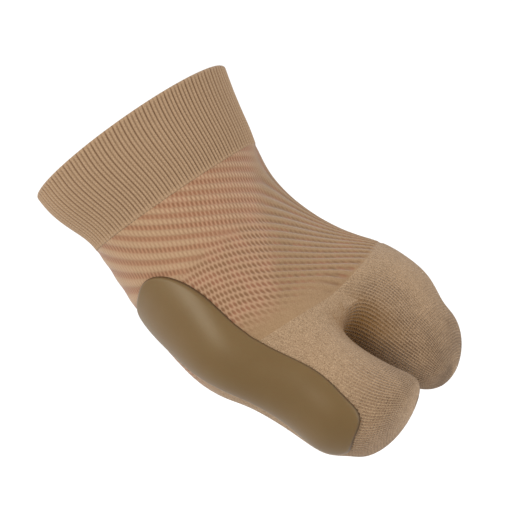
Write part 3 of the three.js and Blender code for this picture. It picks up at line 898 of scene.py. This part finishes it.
TAN = tone(158, 130, 99)
TAN_LIGHT = tone(163, 134, 102)
TAN_DEEP = tone(134, 104, 73)
ROSE = tone(148, 102, 74)
BROWN = tone(98, 66, 40)
UMBER = tone(58, 34, 10)
# Dark brown painted as shade deep in the gap between the toe pockets
GAP_SHADE_BROWN = tone(122, 84, 30)
OLIVE = tone(104, 80, 45)
OLIVE_DEEP = tone(94, 69, 34)
WHITE = tone(255, 255, 255)
GEL_GLINT = (1, 0.93, 0.74, 1)

# Yarn of each knit, its shaded side and its light side, and the deep tones between brown and rose
RIB_YARN = tone(138, 110, 81), tone(180, 151, 121)
BASE_YARN = tone(122, 94, 64), tone(164, 134, 101)
STRIPE_YARN = tone(149, 116, 88), tone(186, 152, 121)
TERRY_YARN = tone(110, 83, 53), tone(192, 162, 130)
STRIPE_DEEP = tone(121, 87, 59), tone(135, 92, 67)
RIDGE_DEEP = tone(112, 80, 54), tone(134, 88, 64)

# Surface of the knits: roughness and shine are shares, sizes of noise are millimetres
KNIT_ROUGHNESS, KNIT_SPECULAR = 0.95, 0.2
PLAIN_SHEEN, STRIPE_SHEEN, SHEEN_ROUGHNESS = 0.12, 0.2, 0.5
FUZZ_SIZE, FUZZ_LUMPS = 0.42, 1.4
PATCH_SIZE, TERRY_PATCH_SIZE = 5, 6
CLOUD_SIZE, GRAIN_SIZE = 14, 0.3


def yarn(shade, strength):
    """Fine fuzz, as a share from 0 to 1."""
    fine = shade.noise(FUZZ_SIZE)
    coarse = shade.noise(FUZZ_LUMPS)
    both = shade.math("MULTIPLY_ADD", coarse, 0.3, fine)
    return shade.math("MULTIPLY_ADD", both, strength, 0.5 - 0.65 * strength)


def stitches(shade):
    """Small V stitches along the wales, as a share from 0 to 1."""
    wale, course = shade.layer("Knit")
    return shade.wave(shade.add(course, shade.times(shade.wave(wale), 0.5)))


def rib_knit():
    """Ribs of the cuff, whose dark grooves fade towards its foot."""
    shade = Shade("rib_knit")
    rib, _ = shade.layer("Knit")
    stitch = stitches(shade)
    groove = shade.step(0.45, 1.05, shade.less(shade.wave(rib)))
    along, _ = shade.layer("Ends")
    uneven = shade.times(shade.wave(shade.times(rib, 0.25)), 0.05)
    faded = shade.step(RIB_FADE_START, 1.0, shade.add(along, uneven))
    groove = shade.times(groove, shade.less(shade.times(faded, 0.65)))
    deeper = shade.blend(shade.wave(shade.times(rib, 0.5)), 0.4, 0.72)
    fuzz = yarn(shade, 0.7)
    color = shade.mix(fuzz, *RIB_YARN)
    color = shade.mix(shade.times(stitch, 0.22), color, TAN_DEEP)
    color = shade.mix(shade.times(groove, deeper), color, BROWN)
    shade.bump(shade.add(shade.times(stitch, 0.5), fuzz), 0.16)
    return shade.finish(color, KNIT_ROUGHNESS, PLAIN_SHEEN, KNIT_SPECULAR)


def stripe_knit():
    """Rose bands that turn from smooth to ticked, a close mesh over the ball and ridges on the outer side."""
    shade = Shade("stripe_knit")
    stripe, tick = shade.layer("Mesh")
    band_stripe, band_tick = shade.layer("Bands")
    ridges, bands = shade.layer("Zones")
    shown, smooth = shade.layer("Pattern")
    fuzz = yarn(shade, 0.9)
    loose = shade.math("MULTIPLY_ADD", fuzz, 0.3, -0.15)
    patches = shade.step(0.4, 0.65, shade.noise(PATCH_SIZE))

    def ticked(groove, gap, slant, share):
        """Dark share of a mesh of ticks, whose rows have a share of their own."""
        rows = shade.times(groove, share)
        ticks = shade.add(shade.times(gap, 0.55 * (1 - share)), shade.times(slant, 0.45 * (1 - share)))
        return shade.step(0.02, 0.86, shade.add(shade.add(rows, ticks), loose))

    base = shade.mix(fuzz, *BASE_YARN)
    base = shade.mix(shade.times(stitches(shade), 0.15), base, TAN_DEEP)
    light = shade.mix(fuzz, *STRIPE_YARN)
    deep = shade.mix(patches, *STRIPE_DEEP)

    groove = shade.less(shade.wave(stripe))
    gap = shade.less(shade.wave(tick))
    mesh_dark = ticked(groove, gap, shade.less(shade.wave(shade.add(stripe, tick))), 0.34)
    mesh = shade.mix(mesh_dark, light, deep)

    ridge_dark = shade.step(0.28, 1.1, shade.add(shade.add(groove, shade.times(gap, 0.2)), loose))
    ridge_tone = shade.mix(patches, *RIDGE_DEEP)
    ridge = shade.mix(shade.times(ridge_dark, shade.blend(gap, 0.4, 0.75)), base, ridge_tone)

    band_groove = shade.less(shade.wave(band_stripe))
    band_gap = shade.less(shade.wave(band_tick))
    doubled = shade.add(shade.times(band_stripe, 2), band_tick)
    dense_dark = ticked(band_groove, band_gap, shade.less(shade.wave(doubled)), 0.4)
    upper = shade.wave(shade.add(band_stripe, -0.3))
    teeth = shade.times(shade.less(shade.wave(shade.add(shade.times(band_stripe, 0.5), band_tick))), upper)
    smooth_dark = shade.add(shade.add(band_groove, shade.times(teeth, 0.35)), loose)
    smooth_dark = shade.times(shade.step(0.35, 1.05, smooth_dark), 0.8)
    band_dark = shade.blend(shade.times(smooth, 0.45), dense_dark, smooth_dark)
    rose = shade.mix(shade.add(shade.times(teeth, 0.2), shade.times(band_gap, 0.4)), ROSE, BROWN)
    band_light = shade.mix(shade.times(smooth, 0.6), light, TAN_LIGHT)
    band = shade.mix(band_dark, band_light, shade.mix(shade.step(0.3, 0.9, band_groove), deep, rose))

    color = shade.mix(bands, mesh, band)
    color = shade.mix(ridges, color, ridge)
    color = shade.mix(shown, base, color)
    dark = shade.blend(ridges, shade.blend(bands, mesh_dark, shade.times(band_dark, 0.6)), ridge_dark)
    shade.bump(shade.add(shade.times(shade.less(shade.times(dark, shown)), 0.7), fuzz), 0.2)
    return shade.finish(color, KNIT_ROUGHNESS, STRIPE_SHEEN, KNIT_SPECULAR)


def plain_knit():
    """Fine terry, whose wales show beside the gap and over the tips of the toes, with shade painted as a
    mottled dark brown deep in the gap between the pockets.
    """
    shade = Shade("plain_knit")
    wale, _ = shade.layer("Knit")
    shown, painted_gap_shade = shade.layer("Zones")
    lines = shade.less(shade.wave(wale))
    patches = shade.step(0.35, 0.65, shade.noise(TERRY_PATCH_SIZE))
    shown = shade.times(shown, shade.blend(patches, 0.55, 0.85))
    fuzz = yarn(shade, 1.1)
    color = shade.mix(fuzz, *TERRY_YARN)
    broken = shade.blend(shade.times(stitches(shade), 0.6), 1.0, 0.4)
    depth = shade.times(shade.times(shade.add(shade.times(shown, 0.8), 0.08), lines), broken)
    color = shade.mix(depth, color, BROWN)
    speckled = shade.step(0.2, 0.8, shade.add(shade.times(fuzz, 0.7), shade.times(shade.less(lines), 0.3)))
    # Painted shade: deep between the pockets the colour turns to a mottled dark brown
    color = shade.mix(painted_gap_shade, color, shade.mix(speckled, GAP_SHADE_BROWN, TAN_DEEP))
    raised = shade.add(fuzz, shade.times(stitches(shade), 0.3))
    shade.bump(shade.math("SUBTRACT", raised, shade.times(depth, 2.0)), 0.35)
    return shade.finish(color, KNIT_ROUGHNESS, PLAIN_SHEEN, KNIT_SPECULAR)


def inner_knit():
    """The plain inside of the sleeve and the pockets."""
    shade = Shade("inner_knit")
    fuzz = yarn(shade, 0.5)
    stitch = stitches(shade)
    color = shade.mix(fuzz, TAN_DEEP, TAN)
    color = shade.mix(shade.times(stitch, 0.3), color, BROWN)
    shade.bump(shade.add(fuzz, stitch), 0.25)
    return shade.finish(color, KNIT_ROUGHNESS, STRIPE_SHEEN, KNIT_SPECULAR)


def pad_gel():
    """Soft gel with a fine matt skin and a darker rim round its edge."""
    shade = Shade("pad_gel")
    edge, _ = shade.layer("Zones")
    cloud = shade.noise(CLOUD_SIZE, 3, 0.55)
    grain = shade.noise(GRAIN_SIZE)
    color = shade.mix(cloud, OLIVE_DEEP, OLIVE)
    # A darker rim round the pad's edge
    color = shade.mix(shade.times(edge, 0.8), color, UMBER)
    shade.bump(grain, 0.02)
    shade.finish(color, shade.math("MULTIPLY_ADD", grain, 0.1, 0.38))
    shade.put(shade.shader.inputs["Specular Tint"], GEL_GLINT)
    shade.put(shade.shader.inputs["Subsurface Weight"], 0.08)
    shade.put(shade.shader.inputs["Subsurface Scale"], 0.002)
    return shade.material


def white_floor():
    shade = Shade("white_floor")
    return shade.finish(WHITE, 0.9)


# The surface, parted at the cuff's foot, the toes' arc and the crotch
cage, tube_points = build_cage()
surface = smooth_surface(cage)
everywhere = np.ones(len(surface.faces), bool)
foot_side = snap(surface, cuff_plane, everywhere)
toe_side = snap(surface, toe_arc, everywhere)
web = surface.zones == Cage.WEB
crotch = snap(surface, crotch_side, web)
normals = surface.normals()
point_grid = surface.point_grid()

big_rings, _ = pocket_rings(BIG_TOE, BIG_TOE_ANGLES)
small_rings, _ = pocket_rings(SMALL_TOES, SMALL_TOES_ANGLES)
toe_roots = np.r_[big_rings[0][:MEDIAL], small_rings[0][:LATERAL]]
tube_along = along_scale([*tube_points, toe_roots])
big_along = np.r_[tube_along[:-1], tube_along[-1] + along_scale(big_rings)]
small_along = np.r_[tube_along[:-1], tube_along[-1] + along_scale(small_rings)]
big_medial = np.array([points[:MEDIAL + 1] for points in big_rings])
medial_points = np.concatenate([tube_points[:, :MEDIAL + 1], big_medial])

foot = np.sign(foot_side)[surface.faces]
toes = np.sign(toe_side)[surface.faces]
parted = np.sign(crotch)[surface.faces]
low_side = np.where(web[:, None], parted, -1)
high_side = np.where(web[:, None], -parted, -1)
tube = surface.zones == Cage.TUBE
medial = tube & (surface.grid[..., 1].mean(1) < MEDIAL)

lining = inner_knit()
cuff = cuff_piece(rib_knit())
sleeve = knit_shell(
    "sleeve_knit", everywhere, [-foot, toes], sleeve_relief, sleeve_layers, [stripe_knit(), lining])
plain = plain_knit()
chosen = (surface.zones == Cage.BIG) | web | medial
layers_of = toe_layers(big_along, MEDIAL + INNER / 2, MEDIAL + INNER, BIG_TOE_BESIDE)
big_toe = knit_shell("big_toe_knit", chosen, [-toes, low_side], toe_relief, layers_of, [plain, lining])
surface.grid[web, :, 1] = MEDIAL + AROUND + INNER - surface.grid[web, :, 1]
chosen = (surface.zones == Cage.SMALL) | web | (tube & ~medial)
layers_of = toe_layers(small_along, AROUND + INNER / 2, LATERAL + INNER, SMALL_TOES_BESIDE)
small_toes = knit_shell(
    "small_toes_knit", chosen, [-toes, high_side], toe_relief, layers_of, [plain, lining])
pad = pad_piece(pad_gel())

for piece, node, slot in (
    (cuff, "ribbed_cuff", "rib_knit"),
    (sleeve, "forefoot_sleeve", "stripe_knit"),
    (big_toe, "big_toe_pocket", "plain_knit"),
    (small_toes, "small_toes_pocket", "plain_knit"),
    (pad, "bunion_pad", "pad_gel"),
):
    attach(piece, "root")
    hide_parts(node)


def studio():
    """A white floor far below, even light all round and one broad soft key."""
    half = FLOOR_HALF
    mesh = bpy.data.meshes.new("floor")
    corners = [(-half, -half), (half, -half), (half, half), (-half, half)]
    mesh.from_pydata([(x * MM, y * MM, -FLOOR_DROP * MM) for x, y in corners], [], [(0, 1, 2, 3)])
    mesh.materials.append(white_floor())
    floor = bpy.data.objects.new("floor", mesh)
    bpy.context.scene.collection.objects.link(floor)
    world = bpy.data.worlds.new("studio")
    world.use_nodes = True
    world.node_tree.nodes["Background"].inputs["Color"].default_value = (1, 1, 1, 1)
    world.node_tree.nodes["Background"].inputs["Strength"].default_value = WORLD
    bpy.context.scene.world = world
    for name, place, size, power in LAMPS:
        lamp = bpy.data.lights.new(name, "AREA")
        lamp.shape = "RECTANGLE"
        lamp.size, lamp.size_y = size[0] * MM, size[1] * MM
        lamp.energy = power
        holder = bpy.data.objects.new(name, lamp)
        holder.location = Vector(place) * MM
        aim = Vector(CAMERA_TARGET) * MM - holder.location
        holder.rotation_euler = aim.to_track_quat("-Z", "Y").to_euler()
        bpy.context.scene.collection.objects.link(holder)


def photo_camera():
    azimuth, elevation, roll = (math.radians(a) for a in (AZIMUTH, ELEVATION, ROLL))
    level_share = math.cos(elevation)
    back = Vector((math.sin(azimuth) * level_share, -math.cos(azimuth) * level_share, math.sin(elevation)))
    level = Vector((math.cos(azimuth), math.sin(azimuth), 0))
    upright = back.cross(level)
    right = level * math.cos(roll) + upright * math.sin(roll)
    up = upright * math.cos(roll) - level * math.sin(roll)
    data = bpy.data.cameras.new("camera")
    data.lens, data.sensor_width = LENS, SENSOR
    data.shift_x = -SHIFT_RIGHT_PIXELS / FRAME_PIXELS
    data.shift_y = SHIFT_DOWN_PIXELS / FRAME_PIXELS
    data.clip_end = CAMERA_REACH
    camera = bpy.data.objects.new("camera", data)
    turn = Matrix((right, up, back)).transposed().to_4x4()
    camera.matrix_world = Matrix.Translation((Vector(CAMERA_TARGET) + back * CAMERA_DISTANCE) * MM) @ turn
    bpy.context.scene.collection.objects.link(camera)
    bpy.context.scene.camera = camera


studio()
photo_camera()
bpy.context.scene.view_settings.view_transform = "Standard"
